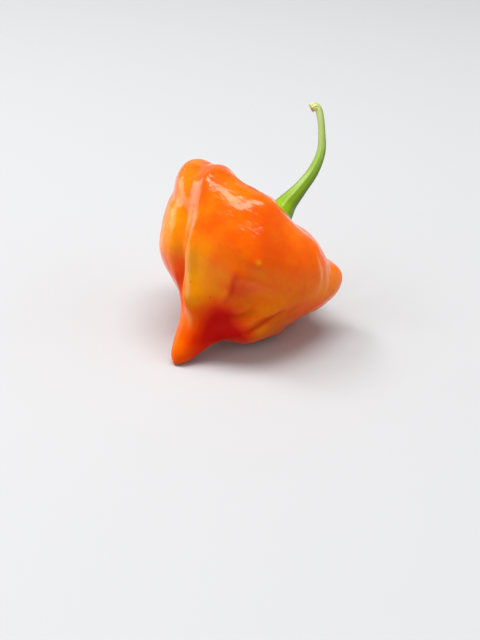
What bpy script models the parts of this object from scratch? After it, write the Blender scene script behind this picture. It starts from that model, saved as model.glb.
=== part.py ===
"""A ripe bonnet-shaped chilli pepper, lying on three low points of its skin.

It has two pieces, each grown as one: the lobed pod, which ends in a short blunt tail, and the
green stalk, which widens at its foot into the calyx that sits on the pod's shoulder.

Both are worked out in the growing frame: +Z runs from the pod's core to the stalk, and a
direction is given by its angle off the stalk (0 at the stalk, 180 at the tail's tip) and its
turn about that axis. The frame is then leaned over as the picked pepper lies.
"""

import bpy
import numpy as np
from mathutils import Matrix

MM = 0.001

# How the pepper lies, in degrees: its axis leans off upright, towards a heading from +X,
# after the pod is spun about its own axis.
LEAN = 55.7
HEADING = 48.2
SPIN = -63.2

# The core stands this far above the surface that the pepper lies on. Skin that would reach
# lower is pressed flat there, which leaves a small flat spot under each of three lobes.
CORE_HEIGHT = 19.75

# The pod's reach from its core, in mm, down four lines of longitude. Between two lines the
# reach passes smoothly from one to the other.
OFF_STALK = [0, 16, 30, 42, 51, 59, 67, 78, 90, 104, 120, 136, 148, 157, 163, 168, 172, 176, 180]
TAIL_REACH = [28.6, 32.4, 34.4]
LONGITUDES = {
    195: [12.6, 14.6, 17.2, 19.2, 23.4, 27.9, 29.5, 28.2, 25.8, 24.2, 23.2, 21.2, 20.7, 21.4, 22.8, 25.2],
    285: [12.6, 14.5, 16.0, 17.1, 18.0, 19.0, 20.2, 21.4, 22.4, 22.8, 21.9, 21.2, 21.4, 22.2, 23.6, 25.8],
    15: [12.6, 13.2, 14.5, 16.8, 19.0, 21.1, 23.2, 24.0, 22.8, 20.8, 20.3, 21.8, 22.7, 22.6, 23.2, 25.2],
    105: [12.6, 13.8, 16.2, 19.0, 21.3, 23.0, 24.0, 24.2, 23.6, 22.4, 20.4, 19.2, 19.8, 21.2, 22.8, 25.2],
}

# Rounded swellings: (angle off the stalk, turn), height in mm, spread in degrees.
SWELLINGS = [
    ((64, 198), 0.3, 12),
    ((54, 202), -1.0, 9),
    ((50, 222), 0.2, 9),
    ((46, 226), -1.8, 9),
    ((54, 240), -2.5, 8),
    ((27, 256), 0.7, 10),
    ((69, 271), 2.0, 12),
    ((30, 296), -1.4, 12),
    ((44, 302), -1.0, 11),
    ((54, 358), -1.2, 9),
    ((68, 2), 1.7, 12),
    ((106, 288), 0.3, 4),
    ((108, 282), 1.4, 20),
    ((126, 304), -1.0, 10),
    ((127, 320), 0.4, 7),
    ((151, 243), 1.9, 11),
    ((148, 180), -0.5, 10),
    ((168, 28), -0.8, 7),
    ((121, 24), 1.5, 9),
    ((106, 38), 1.3, 15),
    ((134, 52), -1.3, 15),
    ((104, 104), 2.3, 19),
    ((66, 246), -0.8, 4.5),
    ((55, 235), -1.4, 6),
    ((55, 254), -0.4, 6),
    ((57, 300), -0.5, 12),
    ((56, 311), -0.4, 7),
    ((67, 330), -0.5, 6),
    ((62, 358), 0.7, 6),
    ((72, 358), -0.2, 6),
    ((167, 4), 0.4, 6),
    ((170, 30), -0.4, 5),
    ((76, 228), 0.3, 5),
    ((86, 260), 0.3, 6),
]

# Long folds, as a path of (angle off the stalk, turn), with the height at each point in mm,
# below zero for a furrow, and the spread in degrees. The first three are the deep furrow between
# the left lobe and the front, wide at the shoulder and narrow at the tail, and the crest beside it.
FOLDS = [
    (
        [(44, 210), (60, 213.5), (70, 216), (80, 219), (92, 224), (104, 228)],
        [-0.5, -2.0, -1.4, -0.9, -0.8, -0.6],
        8,
    ),
    (
        [(94, 226), (106, 228), (120, 227), (132, 224), (143, 223), (150, 222), (158, 219), (163, 212)],
        [-0.4, -1.2, -1.8, -2.2, -2.2, -1.8, -1.2, -0.4],
        6,
    ),
    (
        [(104, 240), (112, 241), (122, 240), (136, 239), (150, 240), (158, 245), (166, 251)],
        [0.2, 0.7, 1.0, 1.2, 1.2, 1.0, 0.5],
        5,
    ),
    ([(62, 229), (78, 233), (92, 237)], [-0.4, 0.5, 0.2], 7),
    ([(78, 182), (86, 198), (93, 212), (98, 222)], [-1.0, -0.9, -0.7, -0.3], 5.5),
    ([(46, 344), (60, 346), (72, 344), (84, 342), (96, 344)], [-0.7, -1.6, -1.0, -0.4, 0.0], 9),
    ([(77, 230), (79, 237), (81, 250), (78, 262), (75, 269)], [0.12, 0.12, 0.12, 0.12, 0.12], 7),
    ([(77, 234), (80, 244), (80, 256), (78, 264)], [0.3, 0.3, 0.3, 0.2], 12),
    ([(40, 24), (70, 26), (100, 22), (130, 20)], [-0.4, -1.6, -1.4, -0.4], 9),
    ([(45, 70), (75, 72), (105, 70), (140, 68), (158, 66)], [-0.4, -1.9, -2.4, -1.2, -0.3], 13),
    ([(45, 140), (75, 144), (105, 140), (140, 136), (158, 134)], [-0.6, -1.8, -1.8, -1.2, -0.3], 10),
    ([(120, 276), (119, 284), (117, 296), (113, 303), (109, 309)], [0.2, 0.4, 0.5, 0.4, 0.2], 4),
    ([(120, 280), (127, 283), (134, 286), (142, 288)], [0.2, 0.4, 0.4, 0.2], 4),
    ([(148, 297), (144, 310), (139, 313), (134, 313), (130, 315)], [-0.3, -0.5, -0.5, -0.4, -0.2], 3.5),
    (
        [(150, 322), (141, 324), (134, 322), (126, 326), (118, 329), (108, 335)],
        [0.2, 0.5, 0.6, 0.5, 0.2, 0.0],
        5,
    ),
    (
        [(146, 341), (139, 334), (134, 331), (128, 332), (120, 335), (112, 338), (99, 342), (92, 349)],
        [-0.2, -0.5, -0.7, -0.5, -0.4, -0.2, -0.1, -0.1],
        4,
    ),
]

# Mesh of the pod: rings from the stalk's seat to the tail, closer together down the tail.
BODY_RINGS = 50
TAIL_RINGS = 16
TAIL_FROM = 150
POD_SIDES = 80

# The stalk's centre line in the growing frame, in mm from the core, and its radius along it.
STALK_LINE = [
    (0.0, 0.0, 13.4),
    (0.1, -0.1, 18.0),
    (0.8, -0.6, 24.0),
    (1.1, -1.4, 29.6),
    (0.1, -2.6, 34.9),
    (-2.5, -4.0, 39.2),
    (-5.0, -5.3, 42.3),
    (-6.6, -6.0, 43.6),
    (-7.7, -6.3, 43.4),
    (-8.2, -6.2, 42.6),
]
STALK_RADII = [3.5, 2.65, 1.85, 1.5, 1.2, 0.95, 0.95, 1.0, 1.1, 1.15]
STALK_RINGS = 30
STALK_SIDES = 40
BEND_AXIS = [0.6, -0.8, 0.0]  # the stalk's rings are turned so that one side keeps to this direction

# The calyx: a thin flared rim with short pointed teeth that follows the skin, clear of it by a
# hair. The rim is given as (radius, lift off the skin) in mm, and the teeth fade with the lift.
CALYX_GAP = 0.3
CALYX_TEETH = 5
TOOTH_LENGTH = 0.9
TOOTH_LIFT = 0.3
TOOTH_FADE = 1.6
UNDERSIDE_RADII = [1.6, 3.2, 4.2]
RIM_PROFILE = [(4.55, 0.4), (4.5, 0.75), (4.1, 1.05), (3.75, 1.5)]
STALK_FOOT_RADIUS = 3.7
STALK_FOOT_LIFT = 2.1


def direction(off_stalk, turn):
    """Unit vectors at an angle off the stalk and a turn about the growing axis."""
    off, about = np.radians(off_stalk), np.radians(turn)
    across = np.sin(off)
    return np.stack([across * np.cos(about), across * np.sin(about), np.cos(off) + 0 * about], axis=-1)


def bell(directions, centre, spread):
    """1 at the centre, falling off as a bell over the spread, by distance on the unit sphere."""
    apart = 2 - 2 * directions @ centre
    return np.exp(-apart / np.radians(spread) ** 2)


def smooth_through(x, xs, ys):
    """A smooth curve through the points (xs, ys), read at x: cubic pieces that share their slopes."""
    xs, ys = np.asarray(xs, float), np.asarray(ys, float)
    slopes = np.gradient(ys, xs)
    i = np.clip(np.searchsorted(xs, x) - 1, 0, len(xs) - 2)
    step = xs[i + 1] - xs[i]
    t = (x - xs[i]) / step
    start = ys[i] * (1 + 2 * t) + slopes[i] * step * t
    end = ys[i + 1] * (3 - 2 * t) + slopes[i + 1] * step * (t - 1)
    return start * (1 - t) ** 2 + end * t**2


def fold(directions, path, heights, spread):
    """A soft ridge or furrow: small bells laid close together along a smooth path."""
    knots = np.arange(len(path))
    along = np.linspace(0, knots[-1], 12 * len(path))
    off_stalk = smooth_through(along, knots, [point[0] for point in path])
    turn = smooth_through(along, knots, [point[1] for point in path])
    centres = direction(off_stalk, turn)
    lengths = np.linalg.norm(np.gradient(centres, axis=0), axis=1) / np.radians(spread)
    shares = np.interp(along, knots, heights) * lengths / np.sqrt(np.pi)
    return sum(share * bell(directions, centre, spread) for share, centre in zip(shares, centres))


def reach(off_stalk, turn):
    """How far the skin lies from the core, in mm, in each direction."""
    directions = direction(off_stalk, turn)
    total = 0
    for longitude, heights in LONGITUDES.items():
        share = np.maximum(0, np.cos(np.radians(turn - longitude))) ** 2
        total = total + share * smooth_through(off_stalk, OFF_STALK, heights + TAIL_REACH)
    for centre, height, spread in SWELLINGS:
        total = total + height * bell(directions, direction(*centre), spread)
    for path, heights, spread in FOLDS:
        total = total + fold(directions, path, heights, spread)
    return total


def lying():
    """The turn that lays the growing frame down."""
    lean = Matrix.Rotation(np.radians(LEAN), 3, "Y")
    return Matrix.Rotation(np.radians(HEADING), 3, "Z") @ lean @ Matrix.Rotation(np.radians(SPIN), 3, "Z")


def pressed(points):
    """Points of the growing frame with whatever is lower than the surface pushed up onto it."""
    down = -np.array(lying())[2]
    depth = np.maximum(points @ down - CORE_HEIGHT, 0)
    return points - depth[..., None] * down


def skin_height(radius, turn):
    """Height of the skin up the growing axis at a small radius about it, found by repeated aiming."""
    off_stalk = np.zeros_like(turn)
    for _ in range(12):
        height = reach(off_stalk, turn) * np.cos(np.radians(off_stalk))
        off_stalk = np.degrees(np.arctan2(radius, height))
    return height


def pod_rings():
    """Rings of points of the pod, in mm, and the points at its two poles."""
    body = np.linspace(0, TAIL_FROM, BODY_RINGS, endpoint=False)[1:]
    tail = np.linspace(TAIL_FROM, 180, TAIL_RINGS, endpoint=False)
    off_stalk, turn = np.meshgrid(
        np.concatenate([body, tail]), np.arange(POD_SIDES) * 360 / POD_SIDES, indexing="ij"
    )
    rings = direction(off_stalk, turn) * reach(off_stalk, turn)[..., None]
    poles = np.array([0, 180])
    ends = direction(poles, 0 * poles) * reach(poles, 0 * poles)[:, None]
    return pressed(rings), pressed(ends)


def calyx_ring(about, teeth, radius, lift, tooth_share):
    """One ring of the calyx, at a height over the skin that is below it."""
    wide = radius + teeth * tooth_share
    height = skin_height(wide, about) + CALYX_GAP + lift + TOOTH_LIFT * teeth * tooth_share
    return np.column_stack([wide * np.cos(np.radians(about)), wide * np.sin(np.radians(about)), height])


def stalk_rings():
    """Rings of points of the stalk and calyx, in mm, from the cut tip down, and its two end points."""
    about = np.arange(STALK_SIDES) * 360 / STALK_SIDES
    teeth = TOOTH_LENGTH * (0.5 + 0.5 * np.cos(np.radians(CALYX_TEETH * about))) ** 3
    rings = []
    for radius in UNDERSIDE_RADII:
        rings.append(calyx_ring(about, teeth, radius, 0.0, (radius / UNDERSIDE_RADII[-1]) ** 4))
    for radius, lift in RIM_PROFILE:
        rings.append(calyx_ring(about, teeth, radius, lift, 1 - lift / TOOTH_FADE))

    knots = np.arange(len(STALK_LINE))
    along = np.linspace(0, knots[-1], STALK_RINGS)
    line = np.column_stack([smooth_through(along, knots, column) for column in zip(*STALK_LINE)])
    radii = smooth_through(along, knots, STALK_RADII)
    foot = skin_height(np.array([STALK_FOOT_RADIUS]), np.array([0.0]))[0] + CALYX_GAP + STALK_FOOT_LIFT
    line[:, 2] += (foot - line[0, 2]) * np.exp(-(along**2))
    ahead = np.gradient(line, axis=0)
    ahead /= np.linalg.norm(ahead, axis=1, keepdims=True)
    side = BEND_AXIS - (ahead @ BEND_AXIS)[:, None] * ahead
    side /= np.linalg.norm(side, axis=1, keepdims=True)
    up = np.cross(ahead, side)
    around = np.radians(about) - np.arctan2(BEND_AXIS[1], BEND_AXIS[0])
    circle = np.cos(around)[None, :, None] * side[:, None] + np.sin(around)[None, :, None] * up[:, None]
    rings.extend(line[:, None] + radii[:, None, None] * circle)

    seat = np.array([0, 0, skin_height(np.array([0.0]), np.array([0.0]))[0] + CALYX_GAP])
    return np.array(rings)[::-1], np.array([line[-1], seat])


def grown_piece(name, rings, ends, colour, roughness, axis):
    """A closed mesh from rings of points and its two end points, placed by the growing axis."""
    count, sides = rings.shape[:2]
    points = np.concatenate([rings.reshape(-1, 3), ends]) * MM
    here = np.arange(sides)
    following = (here + 1) % sides
    faces = []
    for ring in range(count - 1):
        near, far = ring * sides, (ring + 1) * sides
        faces.extend(zip(near + here, far + here, far + following, near + following))
    first, last = count * sides, count * sides + 1
    far = (count - 1) * sides
    faces.extend(zip(np.full(sides, first), here, following))
    faces.extend(zip(np.full(sides, last), far + following, far + here))
    mesh = bpy.data.meshes.new(name)
    mesh.from_pydata(points.tolist(), [], [[int(corner) for corner in face] for face in faces])
    mesh.shade_smooth()
    material = bpy.data.materials.new(name)
    material.use_nodes = True
    shader = material.node_tree.nodes["Principled BSDF"]
    shader.inputs["Base Color"].default_value = (*colour, 1)
    shader.inputs["Roughness"].default_value = roughness
    shader.inputs["Metallic"].default_value = 0
    mesh.materials.append(material)
    piece = bpy.data.objects.new(name, mesh)
    piece.parent = axis
    bpy.context.scene.collection.objects.link(piece)
    return piece


for old in list(bpy.data.objects):
    bpy.data.objects.remove(old)

pod_grid, pod_ends = pod_rings()
stalk_grid, stalk_ends = stalk_rings()

# The origin is under the middle of the whole pepper's box, on the surface it lies on.
everything = np.concatenate([pod_grid.reshape(-1, 3), pod_ends, stalk_grid.reshape(-1, 3), stalk_ends])
laid = everything @ np.array(lying()).T
middle = (laid.min(axis=0) + laid.max(axis=0)) / 2

growing_axis = bpy.data.objects.new("growing_axis", None)
bpy.context.scene.collection.objects.link(growing_axis)
place = Matrix.Translation((-middle[0] * MM, -middle[1] * MM, CORE_HEIGHT * MM))
growing_axis.matrix_world = place @ lying().to_4x4()

grown_piece("pod", pod_grid, pod_ends, (0.85, 0.12, 0.01), 0.25, growing_axis)
grown_piece("stem_and_calyx", stalk_grid, stalk_ends, (0.20, 0.36, 0.04), 0.5, growing_axis)
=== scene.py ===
import bpy
import numpy as np
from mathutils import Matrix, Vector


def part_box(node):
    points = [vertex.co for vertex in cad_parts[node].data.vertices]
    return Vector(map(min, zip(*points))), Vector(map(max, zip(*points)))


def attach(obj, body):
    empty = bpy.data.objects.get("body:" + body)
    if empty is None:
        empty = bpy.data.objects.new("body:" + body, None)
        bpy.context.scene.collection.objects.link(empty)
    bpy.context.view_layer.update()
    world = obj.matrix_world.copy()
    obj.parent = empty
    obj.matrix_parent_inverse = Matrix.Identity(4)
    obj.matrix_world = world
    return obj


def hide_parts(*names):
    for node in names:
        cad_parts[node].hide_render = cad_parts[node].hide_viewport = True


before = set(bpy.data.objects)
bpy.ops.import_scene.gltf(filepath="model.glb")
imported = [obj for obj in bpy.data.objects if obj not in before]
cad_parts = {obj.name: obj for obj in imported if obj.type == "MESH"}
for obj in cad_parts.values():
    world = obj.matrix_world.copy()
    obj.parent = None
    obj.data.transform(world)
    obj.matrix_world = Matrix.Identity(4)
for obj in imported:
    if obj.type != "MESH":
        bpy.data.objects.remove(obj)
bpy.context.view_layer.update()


# The pod is the fruit: one lobed, waxy skin, grown from the stalk's seat to the tail's tip.
# It is worked out in the growing frame, whose +Z runs from the pod's core to the stalk, in mm,
# and is then leaned over as the picked pepper lies on three low points.

MM = 0.001

LEAN, HEADING, SPIN = 55.7, 48.2, -63.2  # degrees: the axis off upright, its heading, the pod's own turn
CORE_HEIGHT = 19.75  # mm from the surface up to the core

# Reach from the core in mm, by angle off the stalk, down four lines of longitude.
OFF_STALK = [0, 16, 30, 42, 51, 59, 67, 78, 90, 104, 120, 136, 148, 157, 163, 168, 172, 176, 180]
TAIL_REACH = [28.6, 32.4, 34.4]
LONGITUDES = {
    195: [12.6, 14.6, 17.2, 19.2, 23.4, 27.9, 29.5, 28.2, 25.8, 24.2, 23.2, 21.2, 20.7, 21.4, 22.8, 25.2],
    285: [12.6, 14.5, 16.0, 17.1, 18.0, 19.0, 20.2, 21.4, 22.4, 22.8, 21.9, 21.2, 21.4, 22.2, 23.6, 25.8],
    15: [12.6, 13.2, 14.5, 16.8, 19.0, 21.1, 23.2, 24.0, 22.8, 20.8, 20.3, 21.8, 22.7, 22.6, 23.2, 25.2],
    105: [12.6, 13.8, 16.2, 19.0, 21.3, 23.0, 24.0, 24.2, 23.6, 22.4, 20.4, 19.2, 19.8, 21.2, 22.8, 25.2],
}

# Swellings: (angle off the stalk, turn), height in mm, spread in degrees.
SWELLINGS = [
    ((64, 198), 0.3, 12),
    ((54, 202), -1.0, 9),
    ((50, 222), 0.2, 9),
    ((46, 226), -1.8, 9),
    ((54, 240), -2.5, 8),
    ((27, 256), 0.7, 10),
    ((69, 271), 2.0, 12),
    ((30, 296), -1.4, 12),
    ((44, 302), -1.0, 11),
    ((54, 358), -1.2, 9),
    ((68, 2), 1.7, 12),
    ((106, 288), 0.3, 4),
    ((108, 282), 1.4, 20),
    ((126, 304), -1.0, 10),
    ((127, 320), 0.4, 7),
    ((151, 243), 1.9, 11),
    ((148, 180), -0.5, 10),
    ((168, 28), -0.8, 7),
    ((121, 24), 1.5, 9),
    ((106, 38), 1.3, 15),
    ((134, 52), -1.3, 15),
    ((104, 104), 2.3, 19),
    ((66, 246), -0.8, 4.5),
    ((55, 235), -1.4, 6),
    ((55, 254), -0.4, 6),
    ((57, 300), -0.5, 12),
    ((56, 311), -0.4, 7),
    ((67, 330), -0.5, 6),
    ((62, 358), 0.7, 6),
    ((72, 358), -0.2, 6),
    ((167, 4), 0.4, 6),
    ((170, 30), -0.4, 5),
    ((76, 228), 0.3, 5),
    ((86, 260), 0.3, 6),
]

# Folds: a path of (angle off the stalk, turn), the height at each point in mm, the spread in degrees.
# The first two are the deep furrow between the left lobe and the front, the third the crest
# beside it.
FOLDS = [
    (
        [(44, 210), (60, 213.5), (70, 216), (80, 219), (92, 224), (104, 228)],
        [-0.5, -2.0, -1.4, -0.9, -0.8, -0.6],
        8,
    ),
    (
        [(94, 226), (106, 228), (120, 227), (132, 224), (143, 223), (150, 222), (158, 219), (163, 212)],
        [-0.4, -1.2, -1.8, -2.2, -2.2, -1.8, -1.2, -0.4],
        6,
    ),
    (
        [(104, 240), (112, 241), (122, 240), (136, 239), (150, 240), (158, 245), (166, 251)],
        [0.2, 0.7, 1.0, 1.2, 1.2, 1.0, 0.5],
        5,
    ),
    ([(62, 229), (78, 233), (92, 237)], [-0.4, 0.5, 0.2], 7),
    ([(78, 182), (86, 198), (93, 212), (98, 222)], [-1.0, -0.9, -0.7, -0.3], 5.5),
    ([(46, 344), (60, 346), (72, 344), (84, 342), (96, 344)], [-0.7, -1.6, -1.0, -0.4, 0.0], 9),
    ([(77, 230), (79, 237), (81, 250), (78, 262), (75, 269)], [0.12, 0.12, 0.12, 0.12, 0.12], 7),
    ([(77, 234), (80, 244), (80, 256), (78, 264)], [0.3, 0.3, 0.3, 0.2], 12),
    ([(40, 24), (70, 26), (100, 22), (130, 20)], [-0.4, -1.6, -1.4, -0.4], 9),
    ([(45, 70), (75, 72), (105, 70), (140, 68), (158, 66)], [-0.4, -1.9, -2.4, -1.2, -0.3], 13),
    ([(45, 140), (75, 144), (105, 140), (140, 136), (158, 134)], [-0.6, -1.8, -1.8, -1.2, -0.3], 10),
    ([(120, 276), (119, 284), (117, 296), (113, 303), (109, 309)], [0.2, 0.4, 0.5, 0.4, 0.2], 4),
    ([(120, 280), (127, 283), (134, 286), (142, 288)], [0.2, 0.4, 0.4, 0.2], 4),
    ([(148, 297), (144, 310), (139, 313), (134, 313), (130, 315)], [-0.3, -0.5, -0.5, -0.4, -0.2], 3.5),
    (
        [(150, 322), (141, 324), (134, 322), (126, 326), (118, 329), (108, 335)],
        [0.2, 0.5, 0.6, 0.5, 0.2, 0.0],
        5,
    ),
    (
        [(146, 341), (139, 334), (134, 331), (128, 332), (120, 335), (112, 338), (99, 342), (92, 349)],
        [-0.2, -0.5, -0.7, -0.5, -0.4, -0.2, -0.1, -0.1],
        4,
    ),
]
BELLS_PER_POINT = 12  # how closely a fold's bells are laid, for each point of its path

# Soft dents in the skin, inwards only: the depth in mm, and how many waves of what tightness.
RELIEF_DEPTH = 0.10
RELIEF_SEED = 4
RELIEF_WAVES = 40
RELIEF_TIGHTNESS = (22, 40)

POD_BODY_RINGS = 220
POD_TAIL_RINGS = 60
POD_TAIL_FROM = 150
POD_SIDES = 300


def direction(off_stalk, turn):
    """Unit vector: sine of the angle off the stalk times cosine and sine of the turn, then its cosine."""
    off, about = np.radians(off_stalk), np.radians(turn)
    across = np.sin(off)
    return np.stack([across * np.cos(about), across * np.sin(about), np.cos(off) + 0 * about], axis=-1)


def bell(directions, centre, spread):
    """e to the minus square of the straight distance on the unit sphere, counted in spreads."""
    apart = 2 - 2 * directions @ centre
    return np.exp(-apart / np.radians(spread) ** 2)


def smooth_through(x, xs, ys):
    """Cubic pieces through the points (xs, ys) that share their slopes, read at x."""
    xs, ys = np.asarray(xs, float), np.asarray(ys, float)
    slopes = np.gradient(ys, xs)
    i = np.clip(np.searchsorted(xs, x) - 1, 0, len(xs) - 2)
    step = xs[i + 1] - xs[i]
    t = (x - xs[i]) / step
    start = ys[i] * (1 + 2 * t) + slopes[i] * step * t
    end = ys[i + 1] * (3 - 2 * t) + slopes[i + 1] * step * (t - 1)
    return start * (1 - t) ** 2 + end * t**2


def fold(directions, path, heights, spread):
    """A soft ridge or furrow: the sum of small bells laid close together along a smooth path."""
    knots = np.arange(len(path))
    along = np.linspace(0, knots[-1], BELLS_PER_POINT * len(path))
    off_stalk = smooth_through(along, knots, [point[0] for point in path])
    turn = smooth_through(along, knots, [point[1] for point in path])
    centres = direction(off_stalk, turn)
    lengths = np.linalg.norm(np.gradient(centres, axis=0), axis=1) / np.radians(spread)
    shares = np.interp(along, knots, heights) * lengths / np.sqrt(np.pi)
    return sum(share * bell(directions, centre, spread) for share, centre in zip(shares, centres))


def reach(off_stalk, turn):
    """Reach in mm: the four longitudes blended by squared cosines, plus every swelling and fold."""
    directions = direction(off_stalk, turn)
    total = 0
    for longitude, heights in LONGITUDES.items():
        share = np.maximum(0, np.cos(np.radians(turn - longitude))) ** 2
        total = total + share * smooth_through(off_stalk, OFF_STALK, heights + TAIL_REACH)
    for centre, height, spread in SWELLINGS:
        total = total + height * bell(directions, direction(*centre), spread)
    for path, heights, spread in FOLDS:
        total = total + fold(directions, path, heights, spread)
    return total


def relief(directions):
    """From 0 to 1: seeded plane waves through the unit sphere, summed, for the skin's soft dents."""
    random = np.random.default_rng(RELIEF_SEED)
    headings = random.normal(size=(RELIEF_WAVES, 3))
    headings /= np.linalg.norm(headings, axis=1, keepdims=True)
    tightness = random.uniform(*RELIEF_TIGHTNESS, size=RELIEF_WAVES)
    phases = random.uniform(0, 2 * np.pi, size=RELIEF_WAVES)
    total = np.cos(directions @ (headings * tightness[:, None]).T + phases).sum(axis=-1)
    return 0.5 + 0.5 * np.tanh(total / np.sqrt(RELIEF_WAVES))


def turned(angle, first, second):
    """The turn by an angle in degrees that takes one axis towards another."""
    matrix = np.eye(3)
    matrix[first, first] = matrix[second, second] = np.cos(np.radians(angle))
    matrix[second, first] = np.sin(np.radians(angle))
    matrix[first, second] = -matrix[second, first]
    return matrix


LYING = turned(HEADING, 0, 1) @ turned(LEAN, 2, 0) @ turned(SPIN, 0, 1)


def laid(points):
    """Growing frame to the surface's frame: leaned, lifted, and never below the surface."""
    placed = points @ LYING.T + [0, 0, CORE_HEIGHT]
    placed[..., 2] = np.maximum(placed[..., 2], 0)
    return placed


def ring_mesh(name, rings, ends):
    """A closed mesh: quads between neighbouring rings, and a fan of triangles onto each end point."""
    count, sides = rings.shape[:2]
    points = np.concatenate([rings.reshape(-1, 3), ends])
    ring = np.arange(count - 1)[:, None] * sides
    here, following = np.arange(sides), (np.arange(sides) + 1) % sides
    further = ring + sides
    quads = np.stack([ring + here, further + here, further + following, ring + following], axis=-1)
    last_ring = (count - 1) * sides
    first_fan = np.stack([np.full(sides, count * sides), here, following], axis=-1)
    last_fan = np.stack(
        [np.full(sides, count * sides + 1), last_ring + following, last_ring + here], axis=-1
    )
    corners = np.concatenate([quads.reshape(-1), first_fan.reshape(-1), last_fan.reshape(-1)])
    sizes = np.concatenate([np.full(quads.size // 4, 4), np.full(2 * sides, 3)])
    mesh = bpy.data.meshes.new(name)
    mesh.vertices.add(len(points))
    mesh.vertices.foreach_set("co", points.astype(np.float32).reshape(-1))
    mesh.loops.add(len(corners))
    mesh.loops.foreach_set("vertex_index", corners.astype(np.int32))
    mesh.polygons.add(len(sizes))
    mesh.polygons.foreach_set("loop_start", (np.cumsum(sizes) - sizes).astype(np.int32))
    mesh.update(calc_edges=True)
    mesh.validate()
    mesh.shade_smooth()
    piece = bpy.data.objects.new(name, mesh)
    bpy.context.scene.collection.objects.link(piece)
    return piece


def point_value(piece, name, values):
    """Stores one number for each point of a piece, for its material to read."""
    attribute = piece.data.attributes.new(name, "FLOAT", "POINT")
    attribute.data.foreach_set("value", values.astype(np.float32))


def point_place(piece, name, places):
    """Stores one place for each point of a piece, for its material's textures to follow."""
    attribute = piece.data.attributes.new(name, "FLOAT_VECTOR", "POINT")
    attribute.data.foreach_set("vector", places.astype(np.float32).reshape(-1))


body_rings = np.linspace(0, POD_TAIL_FROM, POD_BODY_RINGS, endpoint=False)[1:]
tail_rings = np.linspace(POD_TAIL_FROM, 180, POD_TAIL_RINGS, endpoint=False)
off_stalk, turn = np.meshgrid(
    np.concatenate([body_rings, tail_rings]), np.arange(POD_SIDES) * 360 / POD_SIDES, indexing="ij"
)
directions = direction(off_stalk, turn)
grown_grid = directions * (reach(off_stalk, turn) - RELIEF_DEPTH * relief(directions))[..., None]
poles = np.array([0, 180])
grown_ends = direction(poles, 0 * poles) * reach(poles, 0 * poles)[:, None]
pod_grid, pod_ends = laid(grown_grid), laid(grown_ends)

# The core's place over the surface follows from the solid pod's box, which this skin fills.
solid_low, solid_high = (np.array(corner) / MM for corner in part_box("pod"))
skin_low, skin_high = pod_grid.min(axis=(0, 1)), pod_grid.max(axis=(0, 1))
core_over = (solid_low + solid_high - skin_low - skin_high) / 2 * [1, 1, 0]

pod = ring_mesh("pod_skin", (pod_grid + core_over) * MM, (pod_ends + core_over) * MM)
point_place(pod, "grown", np.concatenate([grown_grid.reshape(-1, 3), grown_ends]))

# Ripeness, from 0, yellow, to 1, deep red: patches of (angle off the stalk, turn), amount, spread.
RIPENESS = 0.46
RIPE_PATCHES = [
    ((81, 210), -0.08, 16),
    ((80, 228), 0.06, 10),
    ((112, 208), -0.30, 20),
    ((134, 192), 0.18, 10),
    ((141, 214), 0.10, 7),
    ((128, 240), -0.12, 5),
    ((138, 242), -0.14, 5),
    ((147, 246), -0.12, 5),
    ((118, 248), -0.20, 10),
    ((132, 252), -0.24, 11),
    ((144, 257), -0.14, 9),
    ((96, 289), 0.08, 13),
    ((110, 294), -0.08, 9),
    ((106, 288), -0.42, 1.5),
    ((129, 290), 0.08, 9),
    ((128, 304), -0.06, 7),
    ((121, 292), 0.05, 8),
    ((112, 291), -0.06, 5),
    ((124, 272), -0.10, 7),
    ((139, 277), -0.08, 7),
    ((121, 323), -0.12, 14),
    ((81, 343), -0.12, 14),
    ((68, 4), -0.14, 10),
    ((102, 352), 0.10, 9),
    ((155, 298), 0.55, 11),
    ((161, 320), 0.30, 8),
    ((152, 333), 0.20, 8),
    # the lower rim is redder: partly the skin's own red and partly a painted red reflection from below
    ((162, 338), 0.35, 10),
    ((152, 352), 0.25, 10),
    ((138, 345), -0.10, 8),
    ((138, 218), 0.12, 9),
    ((169, 312), 0.15, 8),
    ((151, 262), -0.10, 7),
    ((152, 251), -0.14, 5),
    ((146, 206), 0.15, 6),
]

# Bands of colour, mostly redder lines along the facet edges and the lower furrow, partly painted shade
# along those creases:
# a path of (angle off the stalk, turn), the amount at each point, the spread.
RIPE_AND_SHADE_BANDS = [
    ([(120, 281), (127, 283), (134, 287), (143, 288)], [0.10, 0.14, 0.14, 0.12], 2),
    ([(120, 281), (116, 290), (113, 302), (110, 312)], [0.06, 0.10, 0.08, 0.0], 2),
    ([(147, 341), (140, 337), (134, 334), (126, 333), (118, 333)], [0.1, 0.2, 0.2, 0.15, 0.1], 2.5),
    ([(144, 349), (137, 342), (130, 341)], [-0.1, -0.14, -0.1], 5),
]


def patchy(start, patches, bands=()):
    """A start value plus the amount of every patch and band, each a bell about its centre."""
    value = start + 0 * off_stalk
    for centre, amount, spread in patches:
        value = value + amount * bell(directions, direction(*centre), spread)
    for path, amounts, spread in bands:
        value = value + fold(directions, path, amounts, spread)
    return np.concatenate([value.reshape(-1), value[0, :1], value[-1, :1]])


point_value(pod, "ripeness", patchy(RIPENESS, RIPE_PATCHES, RIPE_AND_SHADE_BANDS))
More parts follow.
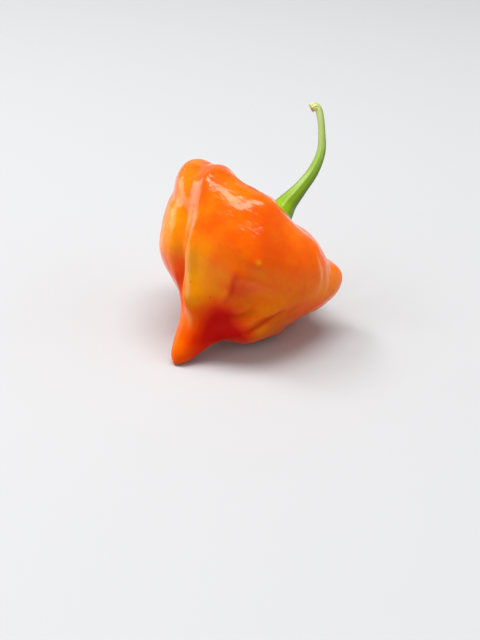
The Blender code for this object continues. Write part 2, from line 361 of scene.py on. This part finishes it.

# Painted shade, from 0, none, to 1, darkest: the skin's colour is darkened in its hollows, along its
# creases and where it hangs in its own shade.
PAINTED_SHADE_PATCHES = [
    ((130, 298), 0.18, 10),
    ((89, 284), 0.28, 15),
    ((106, 266), 0.13, 9),
    ((146, 206), 0.15, 6),
    ((158, 285), 0.12, 10),
    ((150, 304), 0.08, 14),
    ((110, 335), 0.14, 14),
    ((125, 350), 0.30, 14),
]
PAINTED_SHADE_BANDS = [
    ([(147, 341), (140, 337), (134, 334), (126, 333), (118, 333)], [0.15, 0.35, 0.35, 0.3, 0.15], 2.4),
    ([(150, 300), (146, 310), (138, 314), (131, 315)], [0.1, 0.3, 0.3, 0.1], 2.2),
    ([(120, 281), (127, 283), (134, 287), (143, 288)], [0.1, 0.2, 0.2, 0.1], 1.8),
    ([(128, 235), (135, 235), (143, 238), (147, 241)], [0.2, 0.35, 0.35, 0.0], 2.5),
]
point_value(pod, "depth", patchy(0.0, PAINTED_SHADE_PATCHES, PAINTED_SHADE_BANDS))

# A short dry scar by the shoulder's edge, and where the skin has dark specks, from 0 to 1.
SCAR = [([(66, 251), (65, 254), (64, 258)], [0.65, 0.9, 0.6], 1.2)]
SPECKLED = [((147, 265), 1.0, 5), ((139, 246), 0.8, 4)]
point_value(pod, "scar", patchy(0.0, [], SCAR))
point_value(pod, "speckled", patchy(0.0, SPECKLED))

# Painted sheen: the skin's colour is made paler where a sheen of light lies: along the sharp crest,
# down the tail's side, between the front and the lobe on the right, and beside the scar.
PAINTED_SHEEN_BANDS = [
    ([(116, 238), (122, 240.5), (135, 241), (147, 245), (152, 247)], [0.05, 0.2, 0.4, 0.35, 0.0], 1.4),
    ([(158, 245), (163, 249), (168, 256)], [0.15, 0.3, 0.1], 1.8),
    ([(76, 322), (80, 328), (84, 334), (88, 340)], [0.2, 0.3, 0.3, 0.1], 1.5),
    ([(70, 330), (76, 338), (82, 345), (88, 349)], [0.15, 0.25, 0.25, 0.1], 1.5),
    ([(63, 249), (62, 254), (61, 259)], [0.2, 0.3, 0.2], 1.5),
]
point_value(pod, "pale", patchy(0.0, [], PAINTED_SHEEN_BANDS))

# Gloss: the skin on top is glossier than the skin that hangs towards the surface, and two spots
# are duller. A direction's height is from -1, straight down, to 1, straight up.
GLOSS_HEIGHTS = [-0.2, 0.7]
GLOSS_LEVELS = [0.08, 0.33]
DULL_PATCHES = [((91, 273), -0.18, 7), ((110, 208), -0.10, 15)]
gloss = np.interp((directions @ LYING.T)[..., 2], GLOSS_HEIGHTS, GLOSS_LEVELS)
point_value(pod, "gloss", patchy(gloss, DULL_PATCHES))


def material_nodes(name):
    """A new material, its shader, and a way to add a node with inputs set by name."""
    material = bpy.data.materials.new(name)
    material.use_nodes = True
    tree = material.node_tree

    def add(kind, settings=None, **inputs):
        """Adds a node; an input is a number, a colour or another node's socket."""
        node = tree.nodes.new("ShaderNode" + kind)
        for key, value in (settings or {}).items():
            setattr(node, key, value)
        for key, value in inputs.items():
            socket = node.inputs[key.replace("_", " ")]
            if isinstance(value, bpy.types.NodeSocket):
                tree.links.new(value, socket)
            else:
                socket.default_value = value
        return node

    return material, tree.nodes["Principled BSDF"], add


def linear(red, green, blue):
    """A colour given as on screen, from 0 to 255, as the light that the shader wants."""
    screen = np.array([red, green, blue]) / 255
    light = np.where(screen <= 0.04045, screen / 12.92, ((screen + 0.055) / 1.055) ** 2.4)
    return (*light.tolist(), 1.0)


def held(add, name):
    """The number that the piece's points hold under a name."""
    return add("Attribute", {"attribute_name": name}).outputs["Fac"]


def calculated(add, operation, first, second, clamp=False):
    """Two numbers worked into one by a named operation, and held between 0 and 1 if asked."""
    node = add("Math", {"operation": operation, "use_clamp": clamp})
    node.id_data.links.new(first, node.inputs[0])
    node.id_data.links.new(second, node.inputs[1])
    return node.outputs["Value"]


def colour_ramp(add, factor, stops):
    """A ramp of on-screen colours at the given places, read at a factor."""
    ramp = add("ValToRGB", Fac=factor)
    elements = ramp.color_ramp.elements
    while len(elements) < len(stops):
        elements.new(0.5)
    for element, (place, colour) in zip(elements, stops):
        element.position = place
        element.color = linear(*colour)
    return ramp.outputs["Color"]


# The Mix node has sockets for every kind of value: these are its two colours and their mixture.
FIRST_COLOUR, SECOND_COLOUR, MIXED_COLOUR = 6, 7, 2


def mixed(add, share, first, second, blend="MIX"):
    """The first colour turned into the second by a share, or into their product with MULTIPLY."""
    node = add("Mix", {"data_type": "RGBA", "blend_type": blend}, Factor=share)
    node.id_data.links.new(first, node.inputs[FIRST_COLOUR])
    node.inputs[SECOND_COLOUR].default_value = linear(*second)
    return node.outputs[MIXED_COLOUR]


def feed(shader, linked, values):
    """Gives the shader what varies over the piece from nodes, and the rest as one value each."""
    for name, source in linked.items():
        shader.id_data.links.new(source, shader.inputs[name])
    for name, value in values.items():
        shader.inputs[name].default_value = value


SKIN_COLOURS = [
    (0.0, (241, 154, 0)),
    (0.25, (239, 130, 0)),
    (0.5, (236, 89, 0)),
    (0.75, (223, 46, 0)),
    (1.0, (200, 6, 0)),
]
PAINTED_SHADE_COLOUR = (130, 95, 60)
PAINTED_SHEEN_COLOUR = (255, 200, 135)
MARK_COLOUR = (112, 50, 18)
MOTTLE = 0.09  # how far the ripeness wanders either way
PORE_DEPTH, WRINKLE_DEPTH = 0.03, 0.13  # mm
BLEED = 1.5  # mm that light bleeds under the skin

# The ripeness, softly mottled, picks the colour; painted shade then darkens it and a painted sheen makes
# it paler.
skin, shader, add = material_nodes("ripe_skin")
grown = add("Attribute", {"attribute_name": "grown"}).outputs["Vector"]
mottle = add("TexNoise", Vector=grown, Scale=0.16, Detail=5.0, Roughness=0.6).outputs["Fac"]
mottled = add("MapRange", Value=mottle, From_Min=0.3, From_Max=0.7, To_Min=-MOTTLE, To_Max=MOTTLE)
ripe = calculated(add, "ADD", held(add, "ripeness"), mottled.outputs["Result"])
colour = colour_ramp(add, ripe, SKIN_COLOURS)
# Painted shade: the colour is multiplied towards a dull brown by the painted shade's share.
colour = mixed(add, held(add, "depth"), colour, PAINTED_SHADE_COLOUR, "MULTIPLY")
# Painted sheen: the colour is turned towards a pale pink where the sheen is painted.
colour = mixed(add, held(add, "pale"), colour, PAINTED_SHEEN_COLOUR)

# Specks: each cell of a pattern holds one dot, which shows where the cell's own random number is
# below the share of specks there. The scar has the same dark brown.
cells = add("TexVoronoi", Vector=grown, Scale=0.9)
off_cell = cells.outputs["Distance"]
dots = add("MapRange", Value=off_cell, From_Min=0.06, From_Max=0.20, To_Min=0.8, To_Max=0.0)
picked = calculated(add, "LESS_THAN", cells.outputs["Color"], held(add, "speckled"))
specks = calculated(add, "MULTIPLY", dots.outputs["Result"], picked)
marks = calculated(add, "MAXIMUM", specks, held(add, "scar"), clamp=True)
colour = mixed(add, marks, colour, MARK_COLOUR)

# Fine pores, and soft wrinkles that are squeezed along the growing axis, so that they run round it.
pores = add("TexNoise", Vector=grown, Scale=1.1, Detail=2.0).outputs["Fac"]
pored = add("Bump", Strength=1.0, Distance=PORE_DEPTH * MM, Height=pores).outputs["Normal"]
squeezed = add("Mapping", Vector=grown, Scale=(1.0, 1.0, 1.8)).outputs["Vector"]
wrinkles = add("TexNoise", Vector=squeezed, Scale=0.4, Detail=1.0).outputs["Fac"]
wrinkled = add("Bump", Strength=1.0, Distance=WRINKLE_DEPTH * MM, Height=wrinkles, Normal=pored)

feed(
    shader,
    {
        "Base Color": colour,
        "Normal": wrinkled.outputs["Normal"],
        "Specular IOR Level": held(add, "gloss"),
    },
    {
        "Roughness": 0.15,
        "IOR": 1.45,
        "Specular Tint": (1.0, 0.9, 0.72, 1.0),
        "Subsurface Weight": 0.1,
        "Subsurface Radius": (1.0, 0.35, 0.08),
        "Subsurface Scale": BLEED * MM,
    },
)
pod.data.materials.append(skin)
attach(pod, "root")
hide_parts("pod")


# The stalk and calyx are one green growth: a calyx about nine millimetres across, with five short
# pointed teeth, sits on the skin and narrows into a curved stalk that ends where it was snapped off.

STALK_LINE = [
    (0.0, 0.0, 13.4),
    (0.1, -0.1, 18.0),
    (0.8, -0.6, 24.0),
    (1.1, -1.4, 29.6),
    (0.1, -2.6, 34.9),
    (-2.5, -4.0, 39.2),
    (-5.0, -5.3, 42.3),
    (-6.6, -6.0, 43.6),
    (-7.7, -6.3, 43.4),
    (-8.2, -6.2, 42.6),
]
STALK_RADII = [3.5, 2.65, 1.85, 1.5, 1.2, 0.95, 0.95, 1.0, 1.1, 1.15]
STALK_RINGS = 160
STALK_SIDES = 96
BEND_AXIS = [0.6, -0.8, 0.0]  # the stalk's rings are turned so that one side keeps to this direction
# The rim is given as (radius, lift off the skin) in mm, and its teeth fade with the lift.
CALYX_GAP = 0.1
CALYX_TEETH = 5
TOOTH_POINT = 3  # the higher, the more pointed
TOOTH_LENGTH = 0.9
TOOTH_LIFT = 0.3
TOOTH_FADE = 1.8
TOOTH_ROOT = 4  # the higher, the nearer the underside's edge that the teeth begin
UNDERSIDE_RADII = [1.6, 3.2, 4.2]
RIM_PROFILE = [(4.45, 0.35), (4.55, 0.6), (4.5, 0.85), (4.3, 1.1), (4.05, 1.35), (3.75, 1.7)]
STALK_FOOT_RADIUS = 3.7
STALK_FOOT_LIFT = 2.3
AIMINGS = 12


def skin_height(radius, turn):
    """The reach times the cosine of the angle off the axis, aimed again until it meets the radius."""
    off = np.zeros_like(turn)
    for _ in range(AIMINGS):
        height = reach(off, turn) * np.cos(np.radians(off))
        off = np.degrees(np.arctan2(radius, height))
    return height


def calyx_ring(about, teeth, radius, lift, tooth_share):
    """A circle pushed out by its share of the teeth, at a height over the skin below it."""
    wide = radius + teeth * tooth_share
    height = skin_height(wide, about) + CALYX_GAP + lift + TOOTH_LIFT * teeth * tooth_share
    return np.column_stack([wide * np.cos(np.radians(about)), wide * np.sin(np.radians(about)), height])


about = np.arange(STALK_SIDES) * 360 / STALK_SIDES
teeth = TOOTH_LENGTH * (0.5 + 0.5 * np.cos(np.radians(CALYX_TEETH * about))) ** TOOTH_POINT
calyx_rings = []
for radius in UNDERSIDE_RADII:
    tooth_share = (radius / UNDERSIDE_RADII[-1]) ** TOOTH_ROOT
    calyx_rings.append(calyx_ring(about, teeth, radius, 0.0, tooth_share))
for radius, lift in RIM_PROFILE:
    calyx_rings.append(calyx_ring(about, teeth, radius, lift, 1 - lift / TOOTH_FADE))

knots = np.arange(len(STALK_LINE))
along = np.linspace(0, knots[-1], STALK_RINGS)
line = np.column_stack([smooth_through(along, knots, column) for column in zip(*STALK_LINE)])
radii = smooth_through(along, knots, STALK_RADII)
# The foot of the stalk's line is moved to the top of the calyx, and the move fades along the line.
foot = skin_height(np.array([STALK_FOOT_RADIUS]), np.array([0.0]))[0] + CALYX_GAP + STALK_FOOT_LIFT
line[:, 2] += (foot - line[0, 2]) * np.exp(-(along**2))
ahead = np.gradient(line, axis=0)
ahead /= np.linalg.norm(ahead, axis=1, keepdims=True)
side = BEND_AXIS - (ahead @ BEND_AXIS)[:, None] * ahead
side /= np.linalg.norm(side, axis=1, keepdims=True)
up = np.cross(ahead, side)
around = np.radians(about) - np.arctan2(BEND_AXIS[1], BEND_AXIS[0])
circle = np.cos(around)[None, :, None] * side[:, None] + np.sin(around)[None, :, None] * up[:, None]
tube = line[:, None] + radii[:, None, None] * circle

stalk_grid = laid(np.concatenate([np.array(calyx_rings), tube])[::-1])
seat = np.array([0, 0, skin_height(np.array([0.0]), np.array([0.0]))[0] + CALYX_GAP])
stalk_ends = laid(np.array([line[-1], seat]))
stalk = ring_mesh("stem_and_calyx_skin", (stalk_grid + core_over) * MM, (stalk_ends + core_over) * MM)

share_along = np.concatenate([np.zeros(len(calyx_rings)), along / knots[-1]])[::-1]
share_along = np.repeat(share_along, STALK_SIDES)
point_value(stalk, "along", np.concatenate([share_along, [1.0, 0.0]]))

# Painted shade: one side is darkened as if it lay in shade, and a narrower strip opposite it less so,
# by how far a point faces the shaded side. The painted shade fades out on the dry tip. Fine ridges run
# all along.
STALK_SHADE_WAY = 0.0  # turn of the side with painted shade
STALK_SHADE_FALL = 4  # the higher, the narrower the side
STRIP_DEPTH, STRIP_FALL = 0.6, 9  # the strip's share of the side's painted shade, and its own fall
TIP_SHADE_FALL = 6  # the higher, the nearer the tip that the painted shade is lost
RIDGES = 8  # round the stalk
RIDGE_DEPTH = 0.12  # mm
facing = 0.5 + 0.5 * np.cos(np.radians(about - STALK_SHADE_WAY))
stalk_shade = facing**STALK_SHADE_FALL + STRIP_DEPTH * (1 - facing) ** STRIP_FALL
ring_count = len(share_along) // STALK_SIDES
side_share = np.tile(stalk_shade, ring_count) * (1 - share_along**TIP_SHADE_FALL)
point_value(stalk, "shaded_side", np.concatenate([side_share, [0.0, 0.0]]))
ridge_share = np.tile(0.5 + 0.5 * np.cos(RIDGES * np.radians(about)), ring_count)
point_value(stalk, "ridges", np.concatenate([ridge_share, [0.5, 0.5]]))

# Colours up the stalk, from the calyx to the dry cut end.
STALK_COLOURS = [
    (0.0, (143, 178, 6)),
    (0.12, (127, 164, 2)),
    (0.35, (134, 170, 52)),
    (0.65, (190, 210, 136)),
    (0.9, (228, 230, 156)),
    (0.97, (206, 194, 116)),
    (1.0, (176, 146, 84)),
]
STALK_SHADE_COLOUR = (150, 176, 40)
STALK_BLEED = 1.0  # mm that light bleeds under its skin

green, shader, add = material_nodes("green_stalk")
colour = colour_ramp(add, held(add, "along"), STALK_COLOURS)
# Painted shade: the green is multiplied by a darker green on the shaded side.
colour = mixed(add, held(add, "shaded_side"), colour, STALK_SHADE_COLOUR, "MULTIPLY")
ridged = add("Bump", Strength=1.0, Distance=RIDGE_DEPTH * MM, Height=held(add, "ridges"))
feed(
    shader,
    {"Base Color": colour, "Normal": ridged.outputs["Normal"]},
    {
        "Roughness": 0.35,
        "Specular IOR Level": 0.4,
        "Specular Tint": (0.95, 1.0, 0.8, 1.0),
        "Subsurface Weight": 0.15,
        "Subsurface Radius": (0.5, 1.0, 0.2),
        "Subsurface Scale": STALK_BLEED * MM,
    },
)
stalk.data.materials.append(green)
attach(stalk, "root")
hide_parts("stem_and_calyx")


# The table is a plain pale matt sheet, which the pepper lies on and isn't part of. It runs on out
# of view, so that no edge shows behind.

TABLE_WIDTH = 4.0  # metres
TABLE_COLOUR = (187, 187, 188)
bpy.ops.mesh.primitive_plane_add(size=TABLE_WIDTH, location=(0, 0, 0))
table = bpy.context.object
table.name = "table"
pale, shader, _ = material_nodes("pale_table")
feed(shader, {}, {"Base Color": linear(*TABLE_COLOUR), "Roughness": 0.6})
table.data.materials.append(pale)


# The camera looks down at thirty degrees from the side that shows the tail and the stalk.
# The pod's core is seen at CORE_PIXEL of the 480 by 640 frame, at MM_PER_PIXEL.

CAMERA_DISTANCE = 300.0  # mm
CAMERA_ELEVATION = 30.0
SENSOR_WIDTH = 36  # mm
CORE_PIXEL = (248.5, 258.0)
FRAME_PIXELS = (480, 640)
MM_PER_PIXEL = 0.26

elevation = np.radians(CAMERA_ELEVATION)
towards_camera = np.array([0, -np.cos(elevation), np.sin(elevation)])
frame_right = np.array([1.0, 0, 0])
frame_up = np.cross(towards_camera, frame_right)
core = core_over + [0, 0, CORE_HEIGHT]
aim = (
    core
    - frame_right * (CORE_PIXEL[0] - FRAME_PIXELS[0] / 2) * MM_PER_PIXEL
    - frame_up * (FRAME_PIXELS[1] / 2 - CORE_PIXEL[1]) * MM_PER_PIXEL
)
camera_data = bpy.data.cameras.new("camera")
camera_data.sensor_width = SENSOR_WIDTH
camera_data.lens = SENSOR_WIDTH * CAMERA_DISTANCE / (FRAME_PIXELS[1] * MM_PER_PIXEL)
camera = bpy.data.objects.new("camera", camera_data)
camera.location = (aim + towards_camera * CAMERA_DISTANCE) * MM
camera.rotation_euler = (np.pi / 2 - elevation, 0, 0)
bpy.context.scene.collection.objects.link(camera)
bpy.context.scene.camera = camera


# Soft studio light: two long panels overhead, which give the band of shine on the shoulder, a
# panel on the left and one at the back, two broad fills that don't show in the shine, and a dim
# room, so that the skin keeps its full colour.

def light_panel(name, place, width, height, power, turn=None):
    """A rectangular area light, in metres and watts: it faces the pepper, or straight down at a turn."""
    light = bpy.data.lights.new(name, "AREA")
    light.shape = "RECTANGLE"
    light.size = width
    light.size_y = height
    light.energy = power
    lamp = bpy.data.objects.new(name, light)
    lamp.location = place
    if turn is None:
        lamp.rotation_euler = (-lamp.location).to_track_quat("-Z", "Y").to_euler()
    else:
        lamp.rotation_euler = (0, 0, np.radians(turn))
    bpy.context.scene.collection.objects.link(lamp)
    return lamp


light_panel("overhead_panel", (0.05, 0.015, 0.80), width=0.60, height=0.23, power=6.0, turn=0)
light_panel("overhead_side_panel", (-0.45, 0.23, 0.80), width=0.46, height=0.25, power=5.0, turn=-55)
light_panel("left_panel", (-0.85, 0.45, 0.18), width=0.70, height=0.35, power=2.2)
light_panel("back_panel", (0.10, 1.00, 0.40), width=1.60, height=0.50, power=0.8)
left_fill = light_panel("left_fill", (-0.88, -0.58, 0.34), width=1.20, height=1.20, power=5.6)
right_fill = light_panel("right_fill", (0.95, -0.20, 0.32), width=1.20, height=1.20, power=5.0)
for fill in (left_fill, right_fill):
    fill.visible_glossy = False

# The room is dim as a light and pale as the backdrop that the camera sees past the table.
ROOM_LIGHT = (0.20, 0.21, 0.22, 1)
BACKDROP_COLOUR = (0.82, 0.82, 0.83, 1)
world = bpy.data.worlds.new("pale_room")
world.use_nodes = True
room = world.node_tree
backdrop = room.nodes["Background"]
backdrop.inputs["Strength"].default_value = 1.0
camera_ray = room.nodes.new("ShaderNodeLightPath").outputs["Is Camera Ray"]
seen = room.nodes.new("ShaderNodeMixRGB")
room.links.new(camera_ray, seen.inputs["Fac"])
seen.inputs["Color1"].default_value = ROOM_LIGHT
seen.inputs["Color2"].default_value = BACKDROP_COLOUR
room.links.new(seen.outputs["Color"], backdrop.inputs["Color"])
bpy.context.scene.world = world
bpy.context.scene.view_settings.view_transform = "Standard"
